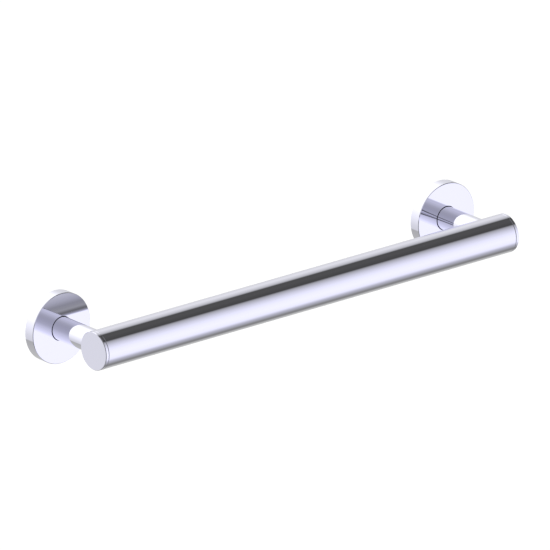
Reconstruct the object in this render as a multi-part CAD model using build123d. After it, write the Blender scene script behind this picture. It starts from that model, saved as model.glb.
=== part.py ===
from build123d import *
import os

# Straight grab bar: a tube on two posts, with covered wall plates.
# Frame: X along the bar, Z up, the wall is the plane Y = 0 and the bar stands off it towards -Y.
# The origin lies on the wall, midway between the posts.

# Driving dimensions of the bar, in millimetres
POST_SPACING = 400.0
HAND_CLEARANCE = 50.7
BAR_DIAMETER = 31.8
TUBE_WALL = 1.6
SEAM_GAP = 0.15
CAP_BAND = 2.85
CAP_SPIGOT_LENGTH = 3.55
CAP_EDGE_BREAK = 0.45

# Driving dimensions of the posts and the socket blocks in the tube
POST_DIAMETER = 19.5
SPIGOT_DIAMETER = 12.0
SPIGOT_PAST_AXIS = 8.0
SPIGOT_FLAT_DEPTH = 0.8
SPIGOT_FLAT_LENGTH = 8.0
BLOCK_SIDE = 22.0
BLOCK_LENGTH = 16.0
BLOCK_BORE_ROOM = 0.5

# Driving dimensions of the covers and their sealing rings
COVER_DIAMETER = 58.8
COVER_RIM_WALL = 2.4
COVER_EDGE_BREAK = 0.4
COVER_LIP = 0.8
SCREW_HEAD_ROOM = 3.1
POST_GAP = 0.45
RING_STEP = 1.15
RING_WIDTH = 1.7

# Driving dimensions of the wall plates
PLATE_RIM_GAP = 0.3
SCREW_COUNT = 3
SCREW_HOLE_DIAMETER = 5.5

# Driving dimensions of the fasteners
BOLT_DIAMETER = 8.0
BOLT_HEAD_DIAMETER = 15.0
BOLT_HEAD_RECESS = 0.2
BOLT_LAND = 0.3
BOLT_ENGAGEMENT = 22.0
BOLT_KEY = 5.0
BOLT_KEY_DEPTH = 2.6
BAR_SCREW_DIAMETER = 6.0
BAR_SCREW_KEY = 3.0
BAR_SCREW_RECESS = 0.7
COVER_SCREW_DIAMETER = 3.0
COVER_SCREW_KEY = 1.5
COVER_SCREW_RECESS = 0.2
SET_SCREW_KEY_SHARE = 0.5

# Clearances
SEAT_FIT = 0.05
BOLT_HOLE_FIT = 0.25
DRILL_ROOM = 2.0

# Sizes that follow: radii
bar_r = BAR_DIAMETER / 2
tube_bore_r = bar_r - TUBE_WALL
post_r = POST_DIAMETER / 2
spigot_r = SPIGOT_DIAMETER / 2
cover_r = COVER_DIAMETER / 2
cover_bore_r = cover_r - COVER_RIM_WALL
cover_hole_r = post_r + POST_GAP
ring_seat_r = cover_hole_r + RING_STEP
plate_r = cover_bore_r - PLATE_RIM_GAP
bolt_r = BOLT_DIAMETER / 2
bolt_head_r = BOLT_HEAD_DIAMETER / 2

# Sizes that follow: depths out from the wall
bolt_head_depth = BOLT_HEAD_RECESS + bolt_head_r - bolt_r
plate_thickness = bolt_head_depth + BOLT_LAND
cover_inside = plate_thickness + SCREW_HEAD_ROOM
ring_seat_front = cover_inside + RING_WIDTH + 2 * SEAT_FIT
cover_depth = ring_seat_front + COVER_LIP
bar_depth = HAND_CLEARANCE + bar_r
spigot_tip = bar_depth + SPIGOT_PAST_AXIS

# The caps' spigots seat on the blocks and leave a fine gap at the tube's ends
cap_seat = (POST_SPACING + BLOCK_LENGTH) / 2 + SEAT_FIT + CAP_SPIGOT_LENGTH
tube_half = cap_seat - SEAM_GAP

# The screws stand in the middle of the open ring between the post and the plate's edge
screw_circle_r = (post_r + plate_r) / 2

# A local Z that points away from the wall, along the bar, and down
FROM_WALL = Rot(90, 0, 0)
ALONG_BAR = Rot(0, 90, 0)
DOWNWARD = Rot(180, 0, 0)


def turned(*section):
    """Turn a closed section of (radius, height) points about Z."""
    outline = Polyline(*section, close=True)
    return revolve(Plane.XZ * make_face(outline), axis=Axis.Z)


def rod(radius, start, end):
    """A plain cylinder about Z between two heights."""
    return Pos(0, 0, start) * Cylinder(radius, end - start, align=(Align.CENTER, Align.CENTER, Align.MIN))


def key_socket(across_flats, start, depth):
    """The cutter of a hexagon socket that opens at a start height and runs towards +Z."""
    hexagon = RegularPolygon(across_flats / 2, 6, major_radius=False)
    return Pos(0, 0, start) * extrude(hexagon, depth)


def set_screw(diameter, key, start, end):
    """A headless screw about Z, with its key socket in the far end."""
    socket_depth = (end - start) * SET_SCREW_KEY_SHARE
    return rod(diameter / 2, start, end) - key_socket(key, end - socket_depth, socket_depth)


def make_tube():
    """The bar's tube along X, with the holes for the spigots and the set screws."""
    tube = ALONG_BAR * (rod(bar_r, -tube_half, tube_half) - rod(tube_bore_r, -tube_half, tube_half))
    for end in (-1, 1):
        at_post = Pos(end * POST_SPACING / 2, 0, 0)
        tube -= at_post * FROM_WALL * rod(spigot_r + SEAT_FIT, -bar_r - DRILL_ROOM, 0)
        tube -= at_post * DOWNWARD * rod(BAR_SCREW_DIAMETER / 2 + SEAT_FIT, 0, bar_r + DRILL_ROOM)
    return tube


def make_cap():
    """An end cap about Z: its band from the seam at zero outwards, and its spigot inwards."""
    plug_r = tube_bore_r - SEAT_FIT
    return turned(
        (0, -CAP_SPIGOT_LENGTH),
        (plug_r, -CAP_SPIGOT_LENGTH),
        (plug_r, 0),
        (bar_r, 0),
        (bar_r, CAP_BAND - CAP_EDGE_BREAK),
        (bar_r - CAP_EDGE_BREAK, CAP_BAND),
        (0, CAP_BAND),
    )


def make_post():
    """A post from its plate to the bar: coped to the tube, with a spigot into the tube's block."""
    at_bar = Pos(0, 0, bar_depth)
    shaft = rod(post_r, plate_thickness, bar_depth)
    shaft -= at_bar * ALONG_BAR * Cylinder(bar_r + SEAT_FIT, 2 * POST_DIAMETER)
    spigot = rod(spigot_r, plate_thickness, spigot_tip)
    flat = Box(
        SPIGOT_DIAMETER,
        SPIGOT_FLAT_DEPTH,
        SPIGOT_FLAT_LENGTH,
        align=(Align.CENTER, Align.MIN, Align.CENTER),
    )
    post = shaft + spigot - at_bar * Pos(0, -spigot_r, 0) * flat
    bolt_bore_end = plate_thickness + BOLT_ENGAGEMENT + DRILL_ROOM
    return post - rod(bolt_r + SEAT_FIT, plate_thickness, bolt_bore_end)


def make_block():
    """The square block along X that takes a post's spigot, its corners rounded to the tube's bore."""
    block = Box(BLOCK_LENGTH, BLOCK_SIDE, BLOCK_SIDE)
    block &= ALONG_BAR * Cylinder(tube_bore_r - SEAT_FIT, BLOCK_LENGTH)
    block -= FROM_WALL * rod(spigot_r + SEAT_FIT, -bar_r, SPIGOT_PAST_AXIS + BLOCK_BORE_ROOM)
    return block - DOWNWARD * rod(BAR_SCREW_DIAMETER / 2 + SEAT_FIT, 0, bar_r)


def make_cover():
    """A cup-shaped cover flange, with the seat of its sealing ring behind the lip round the post."""
    cover = turned(
        (cover_bore_r, 0),
        (cover_r, 0),
        (cover_r, cover_depth - COVER_EDGE_BREAK),
        (cover_r - COVER_EDGE_BREAK, cover_depth),
        (cover_hole_r, cover_depth),
        (cover_hole_r, ring_seat_front),
        (ring_seat_r, ring_seat_front),
        (ring_seat_r, cover_inside),
        (cover_bore_r, cover_inside),
    )
    screw_hole = rod(COVER_SCREW_DIAMETER / 2 + SEAT_FIT, cover_bore_r - DRILL_ROOM, cover_r + DRILL_ROOM)
    return cover - Pos(0, 0, plate_thickness / 2) * FROM_WALL * screw_hole


def make_ring():
    """The square-cut sealing ring between a post and its cover."""
    inner = post_r + SEAT_FIT
    outer = ring_seat_r - SEAT_FIT
    back = cover_inside + SEAT_FIT
    front = ring_seat_front - SEAT_FIT
    return turned((inner, back), (outer, back), (outer, front), (inner, front))


def make_plate(end):
    """A wall plate: the post stands on its front, the bolt is sunk in its back, and screws hold it.

    The end is -1 or 1 along X, and the first hole faces that way, in line with the other plate's.
    """
    sink_r = bolt_head_r + BOLT_HEAD_RECESS
    bolt_hole_r = bolt_r + BOLT_HOLE_FIT
    plate = turned(
        (sink_r, 0),
        (plate_r, 0),
        (plate_r, plate_thickness),
        (bolt_hole_r, plate_thickness),
        (bolt_hole_r, sink_r - bolt_hole_r),
    )
    hole = rod(SCREW_HOLE_DIAMETER / 2, 0, plate_thickness)
    for place in PolarLocations(end * screw_circle_r, SCREW_COUNT):
        plate -= place * hole
    return plate


def make_bolt():
    """The countersunk bolt from the plate's back into the post."""
    tip = plate_thickness + BOLT_ENGAGEMENT
    bolt = turned(
        (0, BOLT_HEAD_RECESS),
        (bolt_head_r, BOLT_HEAD_RECESS),
        (bolt_r, bolt_head_depth),
        (bolt_r, tip),
        (0, tip),
    )
    return bolt - key_socket(BOLT_KEY, BOLT_HEAD_RECESS, BOLT_KEY_DEPTH)


def make_cover_screw():
    """The set screw in a cover's rim, from the plate's edge outwards along Z."""
    return set_screw(COVER_SCREW_DIAMETER, COVER_SCREW_KEY, plate_r, cover_r - COVER_SCREW_RECESS)


def make_bar_screw():
    """The set screw under the bar, from the spigot's flat outwards along Z."""
    start = spigot_r - SPIGOT_FLAT_DEPTH
    return set_screw(BAR_SCREW_DIAMETER, BAR_SCREW_KEY, start, bar_r - BAR_SCREW_RECESS)


# Places of the pieces at one post
on_bar_axis = Pos(0, -bar_depth, 0)
at_cover_screw = Pos(0, -plate_thickness / 2, 0) * DOWNWARD

pieces = {"grab_tube": on_bar_axis * make_tube()}
pairs = {}
for side, end in (("left", -1), ("right", 1)):
    at_post = Pos(end * POST_SPACING / 2, 0, 0)
    at_seat = Pos(end * cap_seat, 0, 0) * Rot(0, end * 90, 0)
    pieces[f"{side}_end_cap"] = on_bar_axis * at_seat * make_cap()
    pieces[f"{side}_post"] = at_post * FROM_WALL * make_post()
    pieces[f"{side}_cover_flange"] = at_post * FROM_WALL * make_cover()
    hardware = {
        "wall_plates": FROM_WALL * make_plate(end),
        "post_bolts": FROM_WALL * make_bolt(),
        "cover_rings": FROM_WALL * make_ring(),
        "cover_set_screws": at_cover_screw * make_cover_screw(),
        "socket_blocks": on_bar_axis * make_block(),
        "bar_set_screws": on_bar_axis * DOWNWARD * make_bar_screw(),
    }
    for name, piece in hardware.items():
        pairs.setdefault(name, []).append(at_post * piece)

# Hidden hardware is the same at both posts, so each kind stays together as a pair
for name, pair in pairs.items():
    pieces[name] = Compound(pair)

os.makedirs("parts", exist_ok=True)
for name, piece in pieces.items():
    export_step(piece, f"parts/{name}.step")
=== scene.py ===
"""Chrome grab bar on two posts: the visual model, its finishes, its studio and its camera.

Frame, in metres: X along the bar, Z up. The wall is the plane Y = 0 and the bar stands off it towards -Y.
"""

import logging
import math
from dataclasses import dataclass, field
from enum import Enum

import bmesh
import bpy
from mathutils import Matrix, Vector


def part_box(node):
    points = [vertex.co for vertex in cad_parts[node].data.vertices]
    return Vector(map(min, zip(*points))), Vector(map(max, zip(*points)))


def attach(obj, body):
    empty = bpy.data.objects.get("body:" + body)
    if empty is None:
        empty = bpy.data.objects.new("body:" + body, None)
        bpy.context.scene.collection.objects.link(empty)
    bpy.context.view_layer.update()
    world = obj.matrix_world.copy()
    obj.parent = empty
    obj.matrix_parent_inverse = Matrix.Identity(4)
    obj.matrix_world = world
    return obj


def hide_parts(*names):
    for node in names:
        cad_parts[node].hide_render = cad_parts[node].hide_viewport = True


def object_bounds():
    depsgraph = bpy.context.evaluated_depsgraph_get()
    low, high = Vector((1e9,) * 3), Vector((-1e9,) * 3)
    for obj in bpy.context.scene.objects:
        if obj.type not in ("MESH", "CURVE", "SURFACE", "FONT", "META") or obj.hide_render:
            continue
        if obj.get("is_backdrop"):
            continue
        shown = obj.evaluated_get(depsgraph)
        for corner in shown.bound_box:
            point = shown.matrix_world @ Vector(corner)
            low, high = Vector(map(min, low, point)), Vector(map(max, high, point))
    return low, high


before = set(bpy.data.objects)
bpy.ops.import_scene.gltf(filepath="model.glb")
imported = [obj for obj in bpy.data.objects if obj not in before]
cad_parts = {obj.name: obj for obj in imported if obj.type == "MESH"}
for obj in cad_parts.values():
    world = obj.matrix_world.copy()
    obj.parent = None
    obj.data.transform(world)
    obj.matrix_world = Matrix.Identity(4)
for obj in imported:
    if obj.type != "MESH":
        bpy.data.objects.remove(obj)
cad_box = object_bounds()

log = logging.getLogger("grab_bar")

MM = 0.001
BODY = "root"

# Fineness of the turned meshes
ROUND_SEGMENTS = 256
SCREW_SEGMENTS = 64
HEX = 6
SQUARE = 4
FLAT_SIDED_UP_TO = 8
EDGE_STEPS = 6
SURFACE_MARK = "surface"

# How finely points of a section are told apart: in nanometres, and in metres at a cope
NANOMETRES = 1e9
COPE_TOLERANCE = 1e-7

# Clearance all round a piece that seats in another
SEAT_FIT = 0.05 * MM

# How far a cutter reaches past the surface that it opens
CUT_ROOM = 2 * MM

# The key socket's share of a set screw's length
KEY_SHARE = 0.5

# A Mix node's colour sockets, which share their names with its other sockets
MIX_FIRST = 6
MIX_SECOND = 7
MIX_RESULT = 2

# Lengths of the studio's rows: a turn in degrees, and a direction's part along an axis, from -1 to 1
FULL_TURN = 360.0
AXIS_SPAN = 2.0

ALONG_BAR = Vector((1, 0, 0))
FROM_WALL = Vector((0, -1, 0))
DOWNWARD = Vector((0, 0, -1))

Point2 = tuple[float, float]
Border = tuple[float, float]
Colour = tuple[float, float, float, float]


class Side(Enum):
    """The two ends of the bar, by their direction along X."""

    LEFT = -1
    RIGHT = 1

    @property
    def word(self) -> str:
        """The side's name in the names of nodes and pieces."""
        return self.name.lower()


def grey(level: float, blue: float = 1.0) -> Colour:
    """A grey in linear light, with a factor on its blue."""
    return (level, level, level * blue, 1.0)


# Turned shapes


@dataclass(frozen=True)
class Corner:
    """A corner of a turned section, and the fineness of the straight run that leaves it."""

    along: float
    radius: float
    edge: float = 0.0
    steps: int = 1


@dataclass(frozen=True)
class Run:
    """One smooth stretch of a turned section: straight, or round about a centre."""

    start: Point2
    end: Point2
    centre: Point2 | None = None
    steps: int = 1

    def points(self) -> list[Point2]:
        """The stretch's points.

        Returns:
            The points at even steps from its start to its end.
        """
        shares = [step / self.steps for step in range(self.steps + 1)]
        if self.centre is None:
            return [self._between(share) for share in shares]
        first = math.atan2(self.start[1] - self.centre[1], self.start[0] - self.centre[0])
        last = math.atan2(self.end[1] - self.centre[1], self.end[0] - self.centre[0])
        turn = (last - first + math.pi) % (2 * math.pi) - math.pi
        size = math.dist(self.start, self.centre)
        return [self._on_arc(first + turn * share, size) for share in shares]

    def facing(self, at: Point2) -> Point2:
        """The way that the surface faces at a point of the section, along and out from the axis.

        Args:
            at: Distance along the axis and radius of the point.

        Returns:
            A unit direction in the section's plane.
        """
        if self.centre is None:
            way = (self.start[1] - self.end[1], self.end[0] - self.start[0])
        else:
            way = (at[0] - self.centre[0], at[1] - self.centre[1])
        length = math.hypot(*way)
        return (way[0] / length, way[1] / length)

    def _between(self, share: float) -> Point2:
        """The point at a share of a straight run."""
        along = self.start[0] + (self.end[0] - self.start[0]) * share
        return (along, self.start[1] + (self.end[1] - self.start[1]) * share)

    def _on_arc(self, angle: float, size: float) -> Point2:
        """The point at an angle of a round run of a given radius."""
        return (self.centre[0] + size * math.cos(angle), self.centre[1] + size * math.sin(angle))


@dataclass
class Turning:
    """A closed section of corners turned about an axis, with its solid on the outline's right."""

    corners: list[Corner]
    origin: Vector
    axis: Vector
    segments: int = ROUND_SEGMENTS
    first_angle: float = 0.0
    across: Vector = field(init=False)
    beside: Vector = field(init=False)
    runs: list[Run] = field(init=False)

    def __post_init__(self) -> None:
        """Work out the section's runs and the directions across the axis."""
        self.across = self.axis.orthogonal().normalized()
        self.beside = self.axis.cross(self.across)
        self.runs = self._section()

    def place(self, at: Point2, angle: float) -> Vector:
        """The point in the frame of a point of the section, turned to an angle."""
        out = self.across * math.cos(angle) + self.beside * math.sin(angle)
        return self.origin + self.axis * at[0] + out * at[1]

    def facing(self, run: Run, point: Vector) -> Vector | None:
        """The direction that the true surface faces.

        Args:
            run: The stretch of the section that makes the surface.
            point: A point of the surface in the frame.

        Returns:
            The unit direction, or None where the sides are flat and their own faces give it.
        """
        if self.segments <= FLAT_SIDED_UP_TO:
            return None
        offset = point - self.origin
        along = offset.dot(self.axis)
        out = offset - self.axis * along
        way = run.facing((along, out.length))
        return (self.axis * way[0] + out.normalized() * way[1]).normalized()

    def mesh(self, name: str, surfaces: "list[Surface]", sense: float) -> bpy.types.Mesh:
        """Build the turned mesh and mark each face with its surface.

        Args:
            name: Name of the mesh.
            surfaces: The piece's surfaces so far, to which this shape's are added.
            sense: 1 for a solid, -1 for a shape that is cut away.

        Returns:
            The closed mesh.
        """
        points: list[Vector] = []
        rings: dict[tuple[int, int], list[int]] = {}
        faces: list[tuple[int, ...]] = []
        marks: list[int] = []
        for run in self.runs:
            surfaces.append(Surface(self, run, sense))
            stops = [self._ring(stop, points, rings) for stop in run.points()]
            for near, far in zip(stops, stops[1:]):
                band = self._band(near, far)
                faces.extend(band)
                marks.extend([len(surfaces) - 1] * len(band))
        mesh = bpy.data.meshes.new(name)
        mesh.from_pydata(points, [], faces, shade_flat=False)
        mesh.attributes.new(SURFACE_MARK, "INT", "FACE").data.foreach_set("value", marks)
        return mesh

    def _section(self) -> list[Run]:
        """The runs of the section.

        Returns:
            Its straight stretches and its rounded edges, in order.
        """
        count = len(self.corners)
        trims = []
        for index, corner in enumerate(self.corners):
            after = self.corners[(index + 1) % count]
            trims.append(round_edge(self.corners[index - 1], corner, after))
        runs = []
        for index, (corner, trim) in enumerate(zip(self.corners, trims)):
            into, leave, centre = trim
            if centre is not None:
                runs.append(Run(into, leave, centre, EDGE_STEPS))
            target = trims[(index + 1) % count][0]
            if leave[1] > 0 or target[1] > 0:
                runs.append(Run(leave, target, None, corner.steps))
        return runs

    def _ring(
        self, at: Point2, points: list[Vector], rings: dict[tuple[int, int], list[int]]
    ) -> list[int]:
        """The indices of the ring of points through a point of the section.

        Args:
            at: The point of the section.
            points: The mesh's points so far, to which a new ring is added.
            rings: The rings so far, by their place in the section in nanometres.

        Returns:
            The ring's indices, or a single one where the point lies on the axis.
        """
        key = (round(at[0] * NANOMETRES), round(at[1] * NANOMETRES))
        if key not in rings:
            count = self.segments if key[1] else 1
            first = len(points)
            for step in range(count):
                points.append(self.place(at, self.first_angle + 2 * math.pi * step / self.segments))
            rings[key] = list(range(first, first + count))
        return rings[key]

    def _band(self, near: list[int], far: list[int]) -> list[tuple[int, ...]]:
        """The faces between two rings, of which one may be a single point on the axis.

        Args:
            near: The first ring's indices.
            far: The next ring's indices.

        Returns:
            The faces by their points' indices.
        """
        faces = []
        for step in range(self.segments):
            after = (step + 1) % self.segments
            if len(near) == 1:
                faces.append((near[0], far[after], far[step]))
            elif len(far) == 1:
                faces.append((near[step], near[after], far[0]))
            else:
                faces.append((near[step], near[after], far[after], far[step]))
        return faces


@dataclass
class CopedTurning(Turning):
    """A turning along -Y whose points at one depth are moved on to a round bar along X."""

    cope_depth: float = 0.0
    bar_depth: float = 0.0

    def place(self, at: Point2, angle: float) -> Vector:
        """The point in the frame, moved on to the bar where it lies at the cope's depth.

        Args:
            at: Distance along the axis and radius of the point.
            angle: The angle that it is turned to.

        Returns:
            The point.
        """
        point = super().place(at, angle)
        if math.isclose(at[0], self.cope_depth, abs_tol=COPE_TOLERANCE):
            height = point.z - self.origin.z
            reach = self.bar_depth - self.cope_depth
            point.y = -(self.bar_depth - math.sqrt(reach ** 2 - height ** 2))
        return point

    def facing(self, run: Run, point: Vector) -> Vector | None:
        """The direction that the surface faces: towards the bar's axis on the cope.

        Args:
            run: The stretch of the section that makes the surface.
            point: A point of the surface in the frame.

        Returns:
            The unit direction.
        """
        if run.start[0] == run.end[0] == self.cope_depth:
            return Vector((0, -self.bar_depth - point.y, self.origin.z - point.z)).normalized()
        return super().facing(run, point)


@dataclass(frozen=True)
class Surface:
    """A surface of a piece: the turning and the run that made it, and whether it was cut."""

    turning: Turning
    run: Run
    sense: float

    def facing(self, point: Vector) -> Vector | None:
        """The direction that the surface faces at a point, or None where its faces are flat."""
        way = self.turning.facing(self.run, point)
        return None if way is None else way * self.sense


def round_edge(before: Corner, corner: Corner, after: Corner) -> tuple[Point2, Point2, Point2 | None]:
    """Where the rounded edge of a corner begins and ends, and its centre.

    Args:
        before: The corner before it.
        corner: The corner that is rounded by its edge radius.
        after: The corner after it.

    Returns:
        The point where the edge begins, where it ends, and its centre or None for a sharp corner.
    """
    at = Vector((corner.along, corner.radius))
    if corner.edge == 0:
        return (tuple(at), tuple(at), None)
    back = (Vector((before.along, before.radius)) - at).normalized()
    on = (Vector((after.along, after.radius)) - at).normalized()
    half = back.angle(on) / 2
    reach = corner.edge / math.tan(half)
    centre = at + (back + on).normalized() * (corner.edge / math.sin(half))
    return (tuple(at + back * reach), tuple(at + on * reach), tuple(centre))


def prism(origin: Vector, axis: Vector, span: Point2, radius: float, segments: int) -> Turning:
    """A plain round, square or hexagonal cutter between two distances along an axis.

    Args:
        origin: A point of the axis.
        axis: The axis's direction.
        span: The distances along the axis at which the cutter begins and ends.
        radius: Radius, or the distance to the corners of a flat-sided cutter.
        segments: Number of sides.

    Returns:
        The cutter.
    """
    start, end = span
    outline = [Corner(start, 0), Corner(start, radius), Corner(end, radius), Corner(end, 0)]
    return Turning(outline, origin, axis, segments, math.pi / segments)


def key_socket(origin: Vector, axis: Vector, span: Point2, across_flats: float) -> Turning:
    """The cutter of a hexagon key's socket between two distances along an axis."""
    return prism(origin, axis, span, across_flats / 2 / math.cos(math.pi / HEX), HEX)


@dataclass
class Workpiece:
    """The turned solids that make one piece, each with the shapes that are cut from it."""

    name: str
    solids: list[tuple[Turning, list[Turning]]]

    def build(self) -> bpy.types.Object:
        """Turn and cut the solids and shade each surface by its true form.

        Returns:
            The piece, linked to the scene.
        """
        surfaces: list[Surface] = []
        whole = bmesh.new()
        for blank, cutters in self.solids:
            mesh = self._cut(blank, cutters, surfaces)
            whole.from_mesh(mesh)
            bpy.data.meshes.remove(mesh)
        mesh = bpy.data.meshes.new(self.name)
        whole.to_mesh(mesh)
        whole.free()
        self._shade(mesh, surfaces)
        return linked(self.name, mesh)

    def _cut(
        self, blank: Turning, cutters: list[Turning], surfaces: list[Surface]
    ) -> bpy.types.Mesh:
        """Cut the given shapes from a turned blank.

        Args:
            blank: The turned solid.
            cutters: The shapes to take away.
            surfaces: The piece's surfaces so far, to which these are added.

        Returns:
            The mesh that is left.
        """
        mesh = blank.mesh("blank", surfaces, 1.0)
        if not cutters:
            return mesh
        body = linked("blank", mesh)
        tools = []
        for cutter in cutters:
            tool = linked("cutter", cutter.mesh("cutter", surfaces, -1.0))
            step = body.modifiers.new("cut", "BOOLEAN")
            step.operation = "DIFFERENCE"
            step.solver = "EXACT"
            step.object = tool
            tools.append(tool)
        evaluated = body.evaluated_get(bpy.context.evaluated_depsgraph_get())
        result = bpy.data.meshes.new_from_object(evaluated)
        for spare in [body, *tools]:
            bpy.data.meshes.remove(spare.data)
        return result

    def _shade(self, mesh: bpy.types.Mesh, surfaces: list[Surface]) -> None:
        """Give each corner of each face the direction of the true surface.

        Args:
            mesh: The whole piece's mesh, with its faces marked by surface.
            surfaces: The surfaces that the marks count.
        """
        marks = mesh.attributes[SURFACE_MARK].data
        ways: list[Vector] = [Vector()] * len(mesh.loops)
        for face in mesh.polygons:
            surface = surfaces[marks[face.index].value]
            for loop in face.loop_indices:
                point = mesh.vertices[mesh.loops[loop].vertex_index].co
                ways[loop] = surface.facing(point) or face.normal
        mesh.shade_smooth()
        mesh.normals_split_custom_set(ways)
        mesh.attributes.remove(mesh.attributes[SURFACE_MARK])


def linked(name: str, mesh: bpy.types.Mesh) -> bpy.types.Object:
    """A new object of a mesh, linked to the scene.

    Args:
        name: Name of the object.
        mesh: Its mesh.

    Returns:
        The object.
    """
    obj = bpy.data.objects.new(name, mesh)
    bpy.context.scene.collection.objects.link(obj)
    return obj


# Shader graphs


class Value:
    """An output socket that takes part in shader maths as a number."""

    def __init__(self, graph: "Graph", socket: bpy.types.NodeSocket) -> None:
        """Wrap a socket of a graph."""
        self.graph = graph
        self.socket = socket

    def also(self, output: str) -> "Value":
        """Another output of the same node."""
        return Value(self.graph, self.socket.node.outputs[output])

    def _math(self, operation: str, first: "Value | float", second: "Value | float") -> "Value":
        """A Math node on two values."""
        return self.graph.node("ShaderNodeMath", {0: first, 1: second}, operation=operation)

    def __add__(self, other: "Value | float") -> "Value":
        """The sum."""
        return self._math("ADD", self, other)

    def __radd__(self, other: float) -> "Value":
        """The sum with a number before it."""
        return self._math("ADD", other, self)

    def __sub__(self, other: "Value | float") -> "Value":
        """The difference."""
        return self._math("SUBTRACT", self, other)

    def __rsub__(self, other: float) -> "Value":
        """The difference from a number."""
        return self._math("SUBTRACT", other, self)

    def __mul__(self, other: "Value | float") -> "Value":
        """The product."""
        return self._math("MULTIPLY", self, other)

    def __rmul__(self, other: float) -> "Value":
        """The product with a number before it."""
        return self._math("MULTIPLY", other, self)

    def __truediv__(self, other: "Value | float") -> "Value":
        """The quotient."""
        return self._math("DIVIDE", self, other)

    def __rtruediv__(self, other: float) -> "Value":
        """A number divided by the value."""
        return self._math("DIVIDE", other, self)

    def __pow__(self, other: "Value | float") -> "Value":
        """The power."""
        return self._math("POWER", self, other)

    def __rpow__(self, other: float) -> "Value":
        """A number raised to the value."""
        return self._math("POWER", other, self)

    def __abs__(self) -> "Value":
        """The absolute value."""
        return self.graph.node("ShaderNodeMath", {0: self}, operation="ABSOLUTE")


Inputs = dict[str | int, Value | float | tuple[float, ...]]


class Graph:
    """The node tree of a material or of the world."""

    def __init__(self, tree: bpy.types.NodeTree) -> None:
        """Empty the tree."""
        self.tree = tree
        tree.nodes.clear()

    def node(
        self, kind: str, inputs: Inputs | None = None, output: str | int = 0, **settings: object
    ) -> Value:
        """Add a node: its settings first, then the values or links of its sockets.

        Args:
            kind: The node's type.
            inputs: Values or links by the socket's name or number.
            output: The output to return, by name or number.
            settings: The node's own settings; stops are a colour ramp's (position, colour) pairs.

        Returns:
            The chosen output.
        """
        made = self.tree.nodes.new(kind)
        stops = settings.pop("stops", None)
        for key, setting in settings.items():
            setattr(made, key, setting)
        if stops is not None:
            self._set_stops(made.color_ramp, stops)
        for key, given in (inputs or {}).items():
            if isinstance(given, Value):
                self.tree.links.new(given.socket, made.inputs[key])
            else:
                made.inputs[key].default_value = given
        return Value(self, made.outputs[output] if made.outputs else None)

    def noise(self, scale: float, detail: float = 2.0) -> Value:
        """Noise in the piece's own frame.

        Args:
            scale: How many features there are to a metre.
            detail: How many finer layers they have.

        Returns:
            The noise, from 0 to 1.
        """
        where = self.node("ShaderNodeTexCoord", output="Object")
        inputs = {"Vector": where, "Scale": scale, "Detail": detail}
        return self.node("ShaderNodeTexNoise", inputs, "Fac")

    def step(self, value: Value, border: Border) -> Value:
        """A soft step from 0 at the border's start to 1 at its end."""
        ends = {"Value": value, "From Min": border[0], "From Max": border[1]}
        return self.node("ShaderNodeMapRange", ends, interpolation_type="SMOOTHSTEP")

    def mix(self, factor: Value, first: Value | Colour, second: Value | Colour) -> Value:
        """A mix of two colours: the first at 0, the second at 1."""
        ends = {"Factor": factor, MIX_FIRST: first, MIX_SECOND: second}
        return self.node("ShaderNodeMix", ends, MIX_RESULT, data_type="RGBA")

    def _set_stops(self, ramp: bpy.types.ColorRamp, stops: list[tuple[float, Colour]]) -> None:
        """Set a colour ramp's stops in order of their positions.

        Args:
            ramp: The colour ramp.
            stops: Positions from 0 to 1 and their colours.
        """
        while len(ramp.elements) < len(stops):
            ramp.elements.new(1.0)
        for element, (position, colour) in zip(ramp.elements, sorted(stops)):
            element.position = position
            element.color = colour


# Finishes


@dataclass(frozen=True)
class Finish:
    """A surface finish: its record slot, its colour with a spread, and its recipe's material."""

    slot: str
    colour: Colour
    spread: float

    def material(self) -> bpy.types.Material:
        """The finish's material, made once and shared by its pieces.

        Returns:
            The material.
        """
        name = f"{self.slot}_finish"
        made = bpy.data.materials.get(name)
        if made is None:
            made = bpy.data.materials.new(name)
            made.use_nodes = True
            made.diffuse_color = self.colour
            graph = Graph(made.node_tree)
            shader = graph.node("ShaderNodeBsdfPrincipled", self.recipe(graph))
            graph.node("ShaderNodeOutputMaterial", {"Surface": shader})
        return made

    def recipe(self, graph: Graph) -> Inputs:
        """The shader's inputs; each finish has its own."""
        raise NotImplementedError

    def shades(self) -> tuple[Colour, Colour]:
        """Two shades of the finish's colour, each apart from it by its spread.

        Returns:
            The darker and the lighter shade.
        """
        darker = tuple(channel * (1 - self.spread) for channel in self.colour[:3])
        lighter = tuple(min(1.0, channel * (1 + self.spread)) for channel in self.colour[:3])
        return (darker + (1.0,), lighter + (1.0,))


@dataclass(frozen=True)
class ChromePlate(Finish):
    """Polished chrome: a cool mirror with the faintest haze left by the buffing."""

    slot: str = "chrome"
    colour: Colour = (0.63, 0.63, 0.705, 1.0)
    spread: float = 0.004
    roughness: float = 0.012
    haze: float = 0.014
    haze_scale: float = 22.0
    haze_detail: float = 3.0
    buffing: float = 0.006
    buffing_scale: float = 1400.0

    def recipe(self, graph: Graph) -> Inputs:
        """A mirror whose roughness and tint drift a little over the surface.

        Args:
            graph: The material's graph.

        Returns:
            The shader's inputs.
        """
        haze = graph.noise(self.haze_scale, self.haze_detail)
        buffing = graph.noise(self.buffing_scale)
        darker, lighter = self.shades()
        return {
            "Base Color": graph.mix(haze, lighter, darker),
            "Metallic": 1.0,
            "Roughness": self.roughness + haze * self.haze + buffing * self.buffing,
        }


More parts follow.
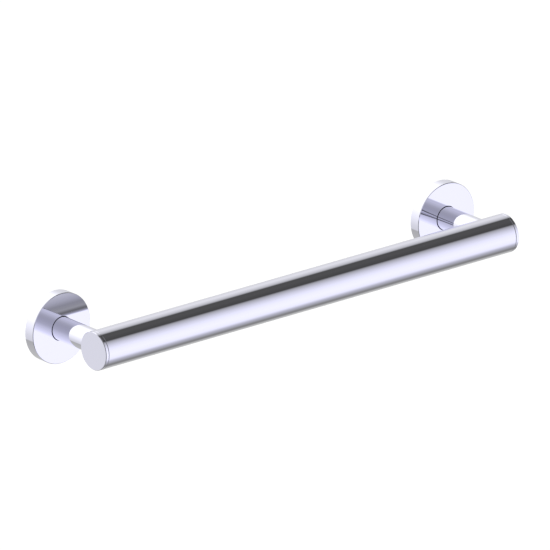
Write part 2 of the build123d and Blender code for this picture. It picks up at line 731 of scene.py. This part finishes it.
@dataclass(frozen=True)
class FixingSteel(Finish):
    """Bright machined steel, with the fine rings that turning leaves about each post's axis."""

    slot: str = "fixing_steel"
    colour: Colour = (0.52, 0.52, 0.53, 1.0)
    spread: float = 0.12
    roughness: float = 0.26
    cloud: float = 0.14
    cloud_scale: float = 140.0
    cloud_detail: float = 4.0
    ring: float = 0.05
    ring_pitch: float = 0.45 * MM
    ring_depth: float = 0.004 * MM
    ring_bump: float = 0.35
    wander: float = 0.225 * MM
    wander_scale: float = 300.0
    post_x: float = 200.0 * MM

    def recipe(self, graph: Graph) -> Inputs:
        """Metal with turned rings in its bump and roughness, and a cloudy tone.

        Args:
            graph: The material's graph.

        Returns:
            The shader's inputs.
        """
        where = graph.node("ShaderNodeTexCoord", output="Object")
        x = graph.node("ShaderNodeSeparateXYZ", {"Vector": where}, "X")
        aside = abs(x) - self.post_x
        radius = (aside ** 2.0 + x.also("Z") ** 2.0) ** 0.5
        wander = graph.noise(self.wander_scale) * self.wander
        turns = (radius + wander) * (2 * math.pi / self.ring_pitch)
        rings = graph.node("ShaderNodeMath", {0: turns}, operation="SINE") * 0.5 + 0.5
        cloud = graph.noise(self.cloud_scale, self.cloud_detail)
        darker, lighter = self.shades()
        bump = {"Strength": self.ring_bump, "Distance": self.ring_depth, "Height": rings}
        return {
            "Base Color": graph.mix(cloud, darker, lighter),
            "Metallic": 1.0,
            "Roughness": self.roughness + cloud * self.cloud + rings * self.ring,
            "Normal": graph.node("ShaderNodeBump", bump),
        }


@dataclass(frozen=True)
class BlockBrass(Finish):
    """Plain cut brass, a little dulled."""

    slot: str = "block_brass"
    colour: Colour = (0.72, 0.55, 0.28, 1.0)
    spread: float = 0.18
    roughness: float = 0.28
    tarnish: float = 0.2
    tarnish_scale: float = 90.0
    tarnish_detail: float = 5.0

    def recipe(self, graph: Graph) -> Inputs:
        """Metal with a cloudy tarnish.

        Args:
            graph: The material's graph.

        Returns:
            The shader's inputs.
        """
        tarnish = graph.noise(self.tarnish_scale, self.tarnish_detail)
        darker, lighter = self.shades()
        return {
            "Base Color": graph.mix(tarnish, lighter, darker),
            "Metallic": 1.0,
            "Roughness": self.roughness + tarnish * self.tarnish,
        }


@dataclass(frozen=True)
class RingRubber(Finish):
    """Matt black rubber with a fine moulded grain."""

    slot: str = "ring_rubber"
    colour: Colour = (0.022, 0.022, 0.024, 1.0)
    spread: float = 0.3
    roughness: float = 0.72
    grain: float = 0.16
    grain_scale: float = 2600.0
    grain_detail: float = 3.0
    grain_depth: float = 0.02 * MM
    grain_bump: float = 0.3

    def recipe(self, graph: Graph) -> Inputs:
        """A dull surface with grain in its bump and tone.

        Args:
            graph: The material's graph.

        Returns:
            The shader's inputs.
        """
        grain = graph.noise(self.grain_scale, self.grain_detail)
        darker, lighter = self.shades()
        bump = {"Strength": self.grain_bump, "Distance": self.grain_depth, "Height": grain}
        return {
            "Base Color": graph.mix(grain, darker, lighter),
            "Roughness": self.roughness + grain * self.grain,
            "Normal": graph.node("ShaderNodeBump", bump),
        }


def dress(piece: bpy.types.Object, finish: Finish, node: str) -> None:
    """Finish a modelled piece, ride it on the body and let it stand for its CAD node.

    Args:
        piece: The modelled piece.
        finish: Its finish.
        node: The CAD node that it replaces.
    """
    piece.data.materials.append(finish.material())
    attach(piece, BODY)
    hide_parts(node)
    count = len(piece.data.polygons)
    log.info("%s stands for %s in %s, %d faces", piece.name, node, finish.slot, count)


def dress_node(node: str, finish: Finish) -> None:
    """Give a CAD node that stays in view its finish.

    Args:
        node: The CAD node.
        finish: Its finish.
    """
    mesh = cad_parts[node].data
    mesh.materials.clear()
    mesh.materials.append(finish.material())
    log.info("%s keeps its solid, in %s", node, finish.slot)


# Sub-assemblies


@dataclass
class Bar:
    """The bar: a tube with its drilled holes, and a pressed-in cap at each end."""

    finish: Finish
    wall: float = 1.6 * MM
    tube_break: float = 0.25 * MM
    lengths: int = 24
    cap_spigot: float = 3.55 * MM
    cap_break: float = 0.45 * MM
    cap_back_break: float = 0.25 * MM
    break_edge: float = 0.05 * MM
    plug_edge: float = 0.3 * MM
    spigot_hole: float = 12.1 * MM
    screw_hole: float = 6.1 * MM
    centre: Vector = field(init=False)
    radius: float = field(init=False)
    half: float = field(init=False)
    bore: float = field(init=False)

    def __post_init__(self) -> None:
        """Take the bar's axis, radius and ends from the frame."""
        low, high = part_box("grab_tube")
        self.centre = (low + high) / 2
        self.radius = (high.z - low.z) / 2
        self.half = (high.x - low.x) / 2
        self.bore = self.radius - self.wall

    def build(self) -> None:
        """Make the tube and both caps."""
        dress(self.tube().build(), self.finish, "grab_tube")
        for side in Side:
            dress(self.cap(side).build(), self.finish, f"{side.word}_end_cap")

    def tube(self) -> Workpiece:
        """The tube, drilled behind for the posts' spigots and below for the set screws.

        Returns:
            The tube's workpiece.
        """
        flank = self.half - self.tube_break
        face = self.radius - self.tube_break
        outline = [
            Corner(-self.half, self.bore),
            Corner(-self.half, face, self.break_edge),
            Corner(-flank, self.radius, self.break_edge, self.lengths),
            Corner(flank, self.radius, self.break_edge),
            Corner(self.half, face, self.break_edge),
            Corner(self.half, self.bore, 0.0, self.lengths),
        ]
        reach = (0.0, self.radius + CUT_ROOM)
        holes = []
        for side in Side:
            at_post = post_place(side) + Vector((0, self.centre.y, self.centre.z))
            holes.append(prism(at_post, -FROM_WALL, reach, self.spigot_hole / 2, SCREW_SEGMENTS))
            holes.append(prism(at_post, DOWNWARD, reach, self.screw_hole / 2, SCREW_SEGMENTS))
        return Workpiece("bar_tube", [(Turning(outline, self.centre, ALONG_BAR), holes)])

    def cap(self, side: Side) -> Workpiece:
        """An end cap: its band, its flat face with a broken edge, and its plug in the tube.

        Args:
            side: The bar's end.

        Returns:
            The cap's workpiece.
        """
        low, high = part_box(f"{side.word}_end_cap")
        band = high.x - low.x - self.cap_spigot
        seam = high.x - band if side is Side.RIGHT else low.x + band
        plug = self.bore - SEAT_FIT
        outline = [
            Corner(-self.cap_spigot, 0),
            Corner(-self.cap_spigot, plug, self.plug_edge),
            Corner(0, plug),
            Corner(0, self.radius - self.cap_back_break, self.break_edge),
            Corner(self.cap_back_break, self.radius, self.break_edge),
            Corner(band - self.cap_break, self.radius, self.break_edge),
            Corner(band, self.radius - self.cap_break, self.break_edge),
            Corner(band, 0),
        ]
        origin = Vector((seam, self.centre.y, self.centre.z))
        blank = Turning(outline, origin, ALONG_BAR * side.value)
        return Workpiece(f"{side.word}_bar_cap", [(blank, [])])


@dataclass
class Posts:
    """The posts: each stands on its plate, is coped to the tube and has a spigot into it."""

    finish: Finish
    spigot: float = 12.0 * MM
    spigot_edge: float = 0.4 * MM
    flat_depth: float = 0.8 * MM
    flat_length: float = 8.0 * MM
    bolt_bore: float = 8.1 * MM
    bolt_bore_depth: float = 24.0 * MM
    saddle_steps: int = 6

    def build(self) -> None:
        """Make both posts."""
        for side in Side:
            dress(self.post(side).build(), self.finish, f"{side.word}_post")

    def post(self, side: Side) -> Workpiece:
        """A post with the flat that its set screw bears on.

        Args:
            side: The bar's end.

        Returns:
            The post's workpiece.
        """
        low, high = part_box(f"{side.word}_post")
        tube_low, tube_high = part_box("grab_tube")
        radius = (high.x - low.x) / 2
        foot = -high.y
        tip = -low.y
        bar_depth = -(tube_low.y + tube_high.y) / 2
        cope = bar_depth - (tube_high.z - tube_low.z) / 2 - SEAT_FIT
        bore_end = foot + self.bolt_bore_depth
        outline = [
            Corner(foot, self.bolt_bore / 2),
            Corner(foot, radius),
            Corner(cope, radius, 0.0, self.saddle_steps),
            Corner(cope, self.spigot / 2),
            Corner(tip, self.spigot / 2, self.spigot_edge),
            Corner(tip, 0),
            Corner(bore_end, 0),
            Corner(bore_end, self.bolt_bore / 2),
        ]
        axis = post_place(side)
        shaft = CopedTurning(outline, axis, FROM_WALL, cope_depth=cope, bar_depth=bar_depth)
        half = self.flat_length / 2
        below = axis + Vector((0, -bar_depth, self.flat_depth - self.spigot / 2 - half))
        across = (-self.spigot, self.spigot)
        flat = prism(below, ALONG_BAR, across, half * math.sqrt(2), SQUARE)
        return Workpiece(f"{side.word}_bar_post", [(shaft, [flat])])


@dataclass
class CoverFlanges:
    """The covers over the wall plates, each with a ring behind its lip and a set screw below."""

    chrome: Finish
    rubber: Finish
    steel: Finish
    rim_wall: float = 2.4 * MM
    front_break: float = 0.4 * MM
    break_edge: float = 0.05 * MM
    hole_edge: float = 0.1 * MM
    back_edge: float = 0.15 * MM
    lip: float = 0.8 * MM
    post_gap: float = 0.45 * MM
    ring_step: float = 1.15 * MM
    ring_edge: float = 0.15 * MM
    screw_edge: float = 0.15 * MM
    screw_hole: float = 3.1 * MM
    screw_key: float = 1.5 * MM

    def build(self) -> None:
        """Make both covers, their rings and their set screws."""
        for side in Side:
            dress(self.cover(side).build(), self.chrome, f"{side.word}_cover_flange")
        dress(self.rings().build(), self.rubber, "cover_rings")
        low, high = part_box("cover_set_screws")
        screws = set_screws("cover_screws", low, high, self.screw_key, self.screw_edge)
        dress(screws.build(), self.steel, "cover_set_screws")

    def cover(self, side: Side) -> Workpiece:
        """A cup with a flat front, a broken front edge and the ring's seat round its hole.

        Args:
            side: The bar's end.

        Returns:
            The cover's workpiece.
        """
        low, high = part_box(f"{side.word}_cover_flange")
        radius = (high.x - low.x) / 2
        depth = -low.y
        bore = radius - self.rim_wall
        hole = self.post_radius(side) + self.post_gap
        seat = hole + self.ring_step
        seat_front = depth - self.lip
        inside = self.ring_span()[0] - SEAT_FIT
        outline = [
            Corner(0, bore),
            Corner(0, radius, self.back_edge),
            Corner(depth - self.front_break, radius, self.break_edge),
            Corner(depth, radius - self.front_break, self.break_edge),
            Corner(depth, hole, self.hole_edge),
            Corner(seat_front, hole),
            Corner(seat_front, seat),
            Corner(inside, seat),
            Corner(inside, bore),
        ]
        screw_low, screw_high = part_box("cover_set_screws")
        screw_at = post_place(side) + Vector((0, (screw_low.y + screw_high.y) / 2, 0))
        span = (bore - CUT_ROOM, radius + CUT_ROOM)
        drill = prism(screw_at, DOWNWARD, span, self.screw_hole / 2, SCREW_SEGMENTS)
        cup = Turning(outline, post_place(side), FROM_WALL)
        return Workpiece(f"{side.word}_wall_cover", [(cup, [drill])])

    def rings(self) -> Workpiece:
        """The two sealing rings, square cut with softened edges.

        Returns:
            The rings' workpiece.
        """
        back, front = self.ring_span()
        solids = []
        for side in Side:
            inner = self.post_radius(side) + SEAT_FIT
            outer = self.post_radius(side) + self.post_gap + self.ring_step - SEAT_FIT
            outline = [
                Corner(back, inner, self.ring_edge),
                Corner(back, outer, self.ring_edge),
                Corner(front, outer, self.ring_edge),
                Corner(front, inner, self.ring_edge),
            ]
            solids.append((Turning(outline, post_place(side), FROM_WALL), []))
        return Workpiece("sealing_rings", solids)

    def post_radius(self, side: Side) -> float:
        """The radius of the post that a cover slides on."""
        low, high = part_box(f"{side.word}_post")
        return (high.x - low.x) / 2

    def ring_span(self) -> Point2:
        """The depths from the wall between which the rings lie."""
        low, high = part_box("cover_rings")
        return (-high.y, -low.y)


@dataclass
class WallFixings:
    """What holds the posts: plates, countersunk bolts, and set screws and blocks in the tube."""

    steel: Finish
    brass: Finish
    plate_edge: float = 0.3 * MM
    hole_count: int = 3
    hole: float = 5.5 * MM
    hole_circle: float = 36.45 * MM
    bolt: float = 8.0 * MM
    bolt_head: float = 15.0 * MM
    bolt_hole: float = 8.5 * MM
    sink_room: float = 0.2 * MM
    bolt_key: float = 5.0 * MM
    bolt_key_depth: float = 2.6 * MM
    bolt_edge: float = 0.8 * MM
    head_edge: float = 0.12 * MM
    screw_key: float = 3.0 * MM
    screw_edge: float = 0.3 * MM

    def build(self) -> None:
        """Make the plates, bolts and set screws, and finish the socket blocks."""
        dress(self.plates().build(), self.steel, "wall_plates")
        dress(self.bolts().build(), self.steel, "post_bolts")
        low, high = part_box("bar_set_screws")
        screws = set_screws("bar_screws", low, high, self.screw_key, self.screw_edge)
        dress(screws.build(), self.steel, "bar_set_screws")
        dress_node("socket_blocks", self.brass)

    def plates(self) -> Workpiece:
        """The two wall plates, with their screw holes and the bolts' countersinks.

        Returns:
            The plates' workpiece.
        """
        low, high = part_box("wall_plates")
        thickness = high.y - low.y
        radius = (high.z - low.z) / 2
        sink = self.bolt_head / 2 + self.sink_room
        outline = [
            Corner(0, sink),
            Corner(0, radius, self.plate_edge),
            Corner(thickness, radius, self.plate_edge),
            Corner(thickness, self.bolt_hole / 2),
            Corner(sink - self.bolt_hole / 2, self.bolt_hole / 2),
        ]
        through = (-CUT_ROOM, thickness + CUT_ROOM)
        solids = []
        for side in Side:
            holes = []
            for number in range(self.hole_count):
                angle = 2 * math.pi * number / self.hole_count
                way = Vector((side.value * math.cos(angle), 0, math.sin(angle)))
                spot = post_place(side) + way * (self.hole_circle / 2)
                holes.append(prism(spot, FROM_WALL, through, self.hole / 2, SCREW_SEGMENTS))
            solids.append((Turning(outline, post_place(side), FROM_WALL), holes))
        return Workpiece("fixing_plates", solids)

    def bolts(self) -> Workpiece:
        """The two countersunk bolts, with a key socket in each head.

        Returns:
            The bolts' workpiece.
        """
        low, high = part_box("post_bolts")
        head = -high.y
        tip = -low.y
        neck = head + (self.bolt_head - self.bolt) / 2
        outline = [
            Corner(head, 0),
            Corner(head, self.bolt_head / 2, self.head_edge),
            Corner(neck, self.bolt / 2),
            Corner(tip, self.bolt / 2, self.bolt_edge),
            Corner(tip, 0),
        ]
        span = (head - CUT_ROOM, head + self.bolt_key_depth)
        solids = []
        for side in Side:
            socket = key_socket(post_place(side), FROM_WALL, span, self.bolt_key)
            solids.append((Turning(outline, post_place(side), FROM_WALL), [socket]))
        return Workpiece("plate_bolts", solids)


def post_place(side: Side) -> Vector:
    """The point of the wall on a post's axis."""
    low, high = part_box(f"{side.word}_post")
    return Vector(((low.x + high.x) / 2, 0, (low.z + high.z) / 2))


def set_screws(name: str, low: Vector, high: Vector, key: float, edge: float) -> Workpiece:
    """A pair of headless screws, one at each post, that point up and have key sockets below.

    Args:
        name: Name of the piece.
        low: The pair's lowest corner in the frame.
        high: The pair's highest corner.
        key: The socket's size across its flats.
        edge: Radius of the edges at both ends.

    Returns:
        The pair's workpiece.
    """
    radius = (high.y - low.y) / 2
    start = -high.z
    end = -low.z
    outline = [
        Corner(start, 0),
        Corner(start, radius, edge),
        Corner(end, radius, edge),
        Corner(end, 0),
    ]
    span = (end - (end - start) * KEY_SHARE, end + CUT_ROOM)
    solids = []
    for side in Side:
        top = post_place(side)
        top.y = (low.y + high.y) / 2
        socket = key_socket(top, DOWNWARD, span, key)
        solids.append((Turning(outline, top, DOWNWARD, SCREW_SEGMENTS), [socket]))
    return Workpiece(name, solids)


# Studio and camera


@dataclass(frozen=True)
class Panel:
    """A light or dark part of the studio: where it stands in its row, and its tone."""

    place: float
    tone: Colour


@dataclass
class Studio:
    """A white studio: even light, a pale floor, and the panels that the chrome mirrors."""

    white: Colour = (1.0, 1.0, 1.0, 1.0)
    floor_drop: float = 0.45
    floor_half: float = 3.0
    floor_tone: float = 0.85
    floor_glow: float = 0.2
    front_places: tuple[float, ...] = (-0.70, -0.43, -0.10, 0.20, 0.50, 0.60, 1.0)
    low_front: tuple[float, ...] = (0.80, 1.07, 1.27, 1.38, 1.10, 1.0, 0.7)
    high_front: tuple[float, ...] = (0.66, 0.87, 1.13, 1.38, 1.28, 1.0, 0.7)
    low_to_high: Border = (-0.35, 0.15)
    wing_tone: float = 0.32
    wing_border: Border = (-0.02, 0.07)
    card_tone: float = 1.2
    front_card_border: Border = (-0.82, -0.95)
    back_card_border: Border = (0.75, 0.85)
    front_to_back: Border = (0.0, 0.3)
    sheet_side_border: Border = (0.64, 0.34)
    sheet_border: Border = (0.3, 0.6)
    end_tone: float = 0.55
    end_border: Border = (0.8, 0.95)
    lavender: float = 1.11
    pale: float = 1.03
    warm: float = 0.95

    def build(self) -> None:
        """Make the floor and the world."""
        self.floor()
        self.world()
        log.info("studio with floor %.2f m below the bar", self.floor_drop)

    def floor(self) -> None:
        """A pale floor, seen from above only, whose place the panels take in what the chrome mirrors."""
        half = self.floor_half
        rim = [(-half, -half), (half, -half), (half, half), (-half, half)]
        mesh = bpy.data.meshes.new("studio_floor")
        mesh.from_pydata([(x, y, -self.floor_drop) for x, y in rim], [], [(0, 1, 2, 3)])
        floor = linked("studio_floor", mesh)
        floor.visible_glossy = False
        paint = bpy.data.materials.new("floor_paint")
        paint.use_nodes = True
        graph = Graph(paint.node_tree)
        matt = graph.node("ShaderNodeBsdfDiffuse", {"Color": grey(self.floor_tone)})
        glow = graph.node("ShaderNodeEmission", {"Color": self.white, "Strength": self.floor_glow})
        top = graph.node("ShaderNodeAddShader", {0: matt, 1: glow})
        under = graph.node("ShaderNodeBsdfTransparent")
        below = graph.node("ShaderNodeNewGeometry", output="Backfacing")
        both = graph.node("ShaderNodeMixShader", {0: below, 1: top, 2: under})
        graph.node("ShaderNodeOutputMaterial", {"Surface": both})
        mesh.materials.append(paint)
        floor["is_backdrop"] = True

    def world(self) -> None:
        """White all round, with the panels in its place for what the chrome mirrors."""
        world = bpy.data.worlds.new("studio")
        world.use_nodes = True
        bpy.context.scene.world = world
        graph = Graph(world.node_tree)
        mirrored = graph.node("ShaderNodeLightPath", output="Is Glossy Ray")
        light = graph.mix(mirrored, self.white, self.panels(graph))
        background = graph.node("ShaderNodeBackground", {"Color": light, "Strength": 1.0})
        graph.node("ShaderNodeOutputWorld", {"Surface": background})

    def panels(self, graph: Graph) -> Value:
        """The studio's panels by direction.

        Args:
            graph: The world's graph.

        Returns:
            The colour seen in each direction.
        """
        way = graph.node("ShaderNodeTexCoord", output="Generated")
        x = graph.node("ShaderNodeSeparateXYZ", {"Vector": way}, "X")
        y = x.also("Y")
        z = x.also("Z")
        card = grey(self.card_tone, self.pale)
        over = graph.node("ShaderNodeMath", {0: z, 1: 0.0 - y}, operation="ARCTAN2")
        sweep = self.ramp(graph, over / (2 * math.pi), self.over_the_bar(), FULL_TURN)
        low = self.ramp(graph, x / AXIS_SPAN, self.along_the_bar(self.low_front), AXIS_SPAN)
        high = self.ramp(graph, x / AXIS_SPAN, self.along_the_bar(self.high_front), AXIS_SPAN)
        gain = graph.mix(graph.step(z, self.low_to_high), low, high)
        front = graph.node("ShaderNodeVectorMath", {0: sweep, "Scale": gain}, operation="SCALE")
        winged = graph.mix(graph.step(y - x, self.wing_border), front, grey(self.wing_tone))
        carded = graph.mix(graph.step(y, self.front_card_border), winged, card)
        sides = graph.mix(graph.step(y, self.front_to_back), carded, sweep)
        sheet = self.ramp(graph, z / AXIS_SPAN, self.behind(), AXIS_SPAN)
        backed = graph.mix(graph.step(y, self.back_card_border), sheet, card)
        on_sheet = graph.step(x, self.sheet_side_border) * graph.step(y, self.sheet_border)
        around = graph.mix(on_sheet, sides, backed)
        return graph.mix(graph.step(abs(x), self.end_border), around, grey(self.end_tone))

    def ramp(self, graph: Graph, share: Value, row: list[Panel], span: float) -> Value:
        """A row of panels over a span, with soft borders, seen at a share of it from its middle."""
        stops = [(panel.place / span + 0.5, panel.tone) for panel in row]
        return graph.node("ShaderNodeValToRGB", {"Fac": share + 0.5}, stops=stops)

    def along_the_bar(self, levels: tuple[float, ...]) -> list[Panel]:
        """How bright the front is at one height, by the direction's part along X."""
        return [Panel(place, grey(level)) for place, level in zip(self.front_places, levels)]

    def over_the_bar(self) -> list[Panel]:
        """The sweep across the bar.

        Returns:
            The panels by their angle in degrees, up from level in front of the bar.
        """
        return [
            # Behind
            Panel(-180, grey(0.86, self.pale)),
            Panel(-152, grey(0.57)),
            # Under the bar
            Panel(-120, grey(0.70, self.warm)),
            Panel(-109, grey(0.52, self.warm)),
            Panel(-97, grey(0.325, self.warm)),
            Panel(-88, grey(0.35, self.warm)),
            # Up the front
            Panel(-64, grey(0.73, self.lavender)),
            Panel(-48, grey(1.30, self.lavender)),
            Panel(-38, grey(1.40, self.lavender)),
            Panel(-20, grey(1.45, self.lavender)),
            Panel(0, grey(1.395, self.lavender)),
            Panel(16, grey(1.26, self.lavender)),
            Panel(32, grey(1.00, self.lavender)),
            # Overhead
            Panel(52.5, grey(0.57, self.pale)),
            Panel(61.5, grey(0.09, self.warm)),
            Panel(86, grey(0.12, self.warm)),
            Panel(107, grey(0.11, self.warm)),
            # Behind again
            Panel(116, grey(0.67)),
            Panel(123, grey(0.84)),
            Panel(146, grey(1.12)),
            Panel(180, grey(0.86, self.pale)),
        ]

    def behind(self) -> list[Panel]:
        """The sheet behind the bar.

        Returns:
            The panels by the direction's part along Z: grey below, then lavender and white.
        """
        return [
            Panel(-0.70, grey(0.69, self.warm)),
            Panel(-0.53, grey(0.63, self.warm)),
            Panel(-0.50, grey(0.96, self.pale)),
            Panel(-0.34, grey(1.07, self.pale)),
            Panel(-0.20, grey(1.22, self.pale)),
            Panel(0.05, grey(1.43, self.pale)),
            Panel(0.25, grey(1.65)),
        ]


@dataclass
class PhotoCamera:
    """The camera: a long lens at the photograph's angle, aimed beside the frame's origin."""

    azimuth: float = -40.074
    elevation: float = 19.94
    lens: float = 1600.0
    sensor: float = 36.0
    view_width: float = 438.04 * MM
    aim_right: float = 21.995 * MM
    aim_up: float = -4.242 * MM

    def build(self) -> None:
        """Make the camera and let the scene use it."""
        turn = math.radians(self.azimuth)
        rise = math.radians(self.elevation)
        level = math.cos(rise)
        out = Vector((math.sin(turn) * level, -math.cos(turn) * level, math.sin(rise)))
        right = Vector((math.cos(turn), math.sin(turn), 0))
        up = out.cross(right)
        distance = self.view_width * self.lens / self.sensor
        data = bpy.data.cameras.new("photo_camera")
        data.lens = self.lens
        data.sensor_width = self.sensor
        data.clip_end = 2 * distance
        camera = bpy.data.objects.new("photo_camera", data)
        camera.location = right * self.aim_right + up * self.aim_up + out * distance
        camera.rotation_euler = (-out).to_track_quat("-Z", "Y").to_euler()
        bpy.context.scene.collection.objects.link(camera)
        bpy.context.scene.camera = camera
        log.info("camera %.2f m away", distance)


def write_sizes() -> None:
    """Gather the CAD model's box and the visual model's box as lists of corners; nothing is saved."""
    boxes = {"cad": cad_box, "visual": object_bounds()}
    plain = {name: [list(corner) for corner in box] for name, box in boxes.items()}


def main() -> None:
    """Build the grab bar's pieces, the studio and the camera."""
    logging.basicConfig(level=logging.INFO, format="%(name)s: %(message)s")
    bpy.context.scene.view_settings.view_transform = "Standard"
    chrome = ChromePlate()
    steel = FixingSteel()
    Bar(chrome).build()
    Posts(chrome).build()
    CoverFlanges(chrome, RingRubber(), steel).build()
    WallFixings(steel, BlockBrass()).build()
    Studio().build()
    PhotoCamera().build()
    write_sizes()


if __name__ == "__main__":
    main()
